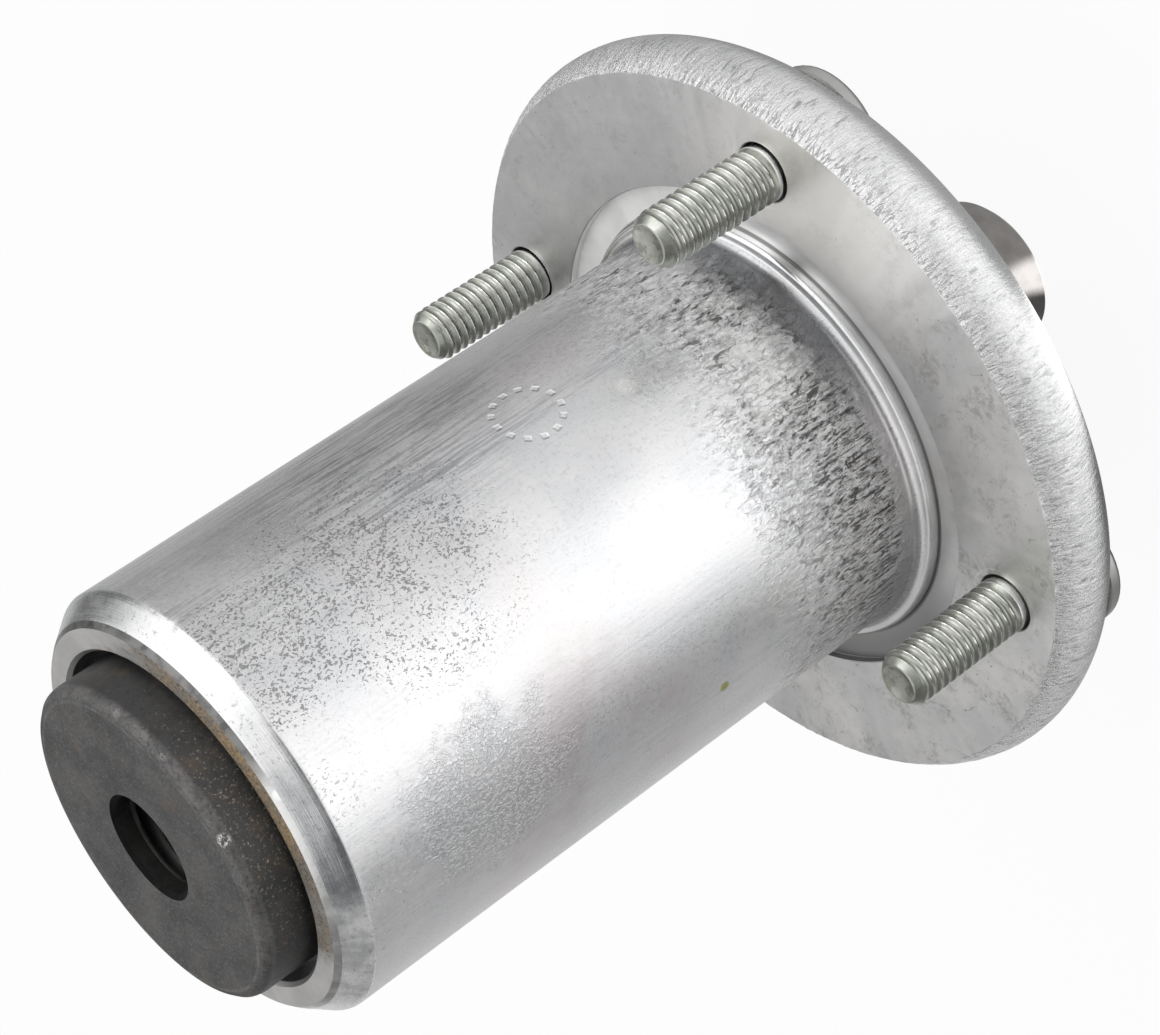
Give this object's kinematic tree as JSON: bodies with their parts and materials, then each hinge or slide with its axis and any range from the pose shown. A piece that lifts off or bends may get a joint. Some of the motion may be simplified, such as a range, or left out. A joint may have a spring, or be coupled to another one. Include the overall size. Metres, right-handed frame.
{
  "type": "mower blade spindle",
  "caption": "Blade spindle of a ride-on mower: cast barrel on a round flange with deck studs, and a steel shaft that turns on sealed ball bearings.",
  "frame": {"origin": "centre of the stud circle, in the plane of the flange's deck face", "axes": "+Z along the shaft, from the pulley end to the blade seat"},
  "size_m": [0.111, 0.111, 0.1521],
  "materials": {
    "cast_aluminium": "as cast barrel and rim, turned nose and foot",
    "zinc_plated_steel": "bright zinc plating",
    "dark_steel": "dark phosphated disc, turned tail",
    "tube_steel": "drawn tube",
    "spring_steel": "blackened spring steel",
    "bearing_steel": "ground",
    "ball_steel": "polished",
    "seal_rubber": "moulded rubber on a steel web",
    "cage_steel": "pressed sheet"
  },
  "bodies": {
    "housing": {"housing": "cast_aluminium", "deck_studs": "zinc_plated_steel", "housing_circlip": "spring_steel", "nose_outer_ring": "bearing_steel", "nose_upper_seal": "seal_rubber", "nose_lower_seal": "seal_rubber", "pulley_outer_ring": "bearing_steel", "pulley_upper_seal": "seal_rubber", "pulley_lower_seal": "seal_rubber"},
    "spindle": {"spindle_shaft": "dark_steel", "spacer_tube": "tube_steel", "shaft_circlip": "spring_steel", "nose_inner_ring": "bearing_steel", "pulley_inner_ring": "bearing_steel"},
    "nose_cage": {"nose_upper_cage": "cage_steel", "nose_lower_cage": "cage_steel", "nose_cage_rivets": "cage_steel", "nose_ball_1": "ball_steel", "nose_ball_2": "ball_steel", "nose_ball_3": "ball_steel", "nose_ball_4": "ball_steel", "nose_ball_5": "ball_steel", "nose_ball_6": "ball_steel", "nose_ball_7": "ball_steel", "nose_ball_8": "ball_steel", "nose_ball_9": "ball_steel"},
    "pulley_cage": {"pulley_upper_cage": "cage_steel", "pulley_lower_cage": "cage_steel", "pulley_cage_rivets": "cage_steel", "pulley_ball_1": "ball_steel", "pulley_ball_2": "ball_steel", "pulley_ball_3": "ball_steel", "pulley_ball_4": "ball_steel", "pulley_ball_5": "ball_steel", "pulley_ball_6": "ball_steel", "pulley_ball_7": "ball_steel", "pulley_ball_8": "ball_steel", "pulley_ball_9": "ball_steel"}
  },
  "joints": [
    {"name": "spindle_spin", "type": "hinge", "parent": "housing", "child": "spindle", "pos_m": [0, 0, 0], "axis": [0, 0, 1], "continuous": true},
    {"name": "nose_cage_spin", "type": "hinge", "parent": "housing", "child": "nose_cage", "pos_m": [0, 0, 0], "axis": [0, 0, 1], "continuous": true},
    {"name": "pulley_cage_spin", "type": "hinge", "parent": "housing", "child": "pulley_cage", "pos_m": [0, 0, 0], "axis": [0, 0, 1], "continuous": true}
  ],
  "couplings": [
    {"joint": "nose_cage_spin", "follows": "spindle_spin", "ratio": 0.3977},
    {"joint": "pulley_cage_spin", "follows": "spindle_spin", "ratio": 0.3977}
  ]
}
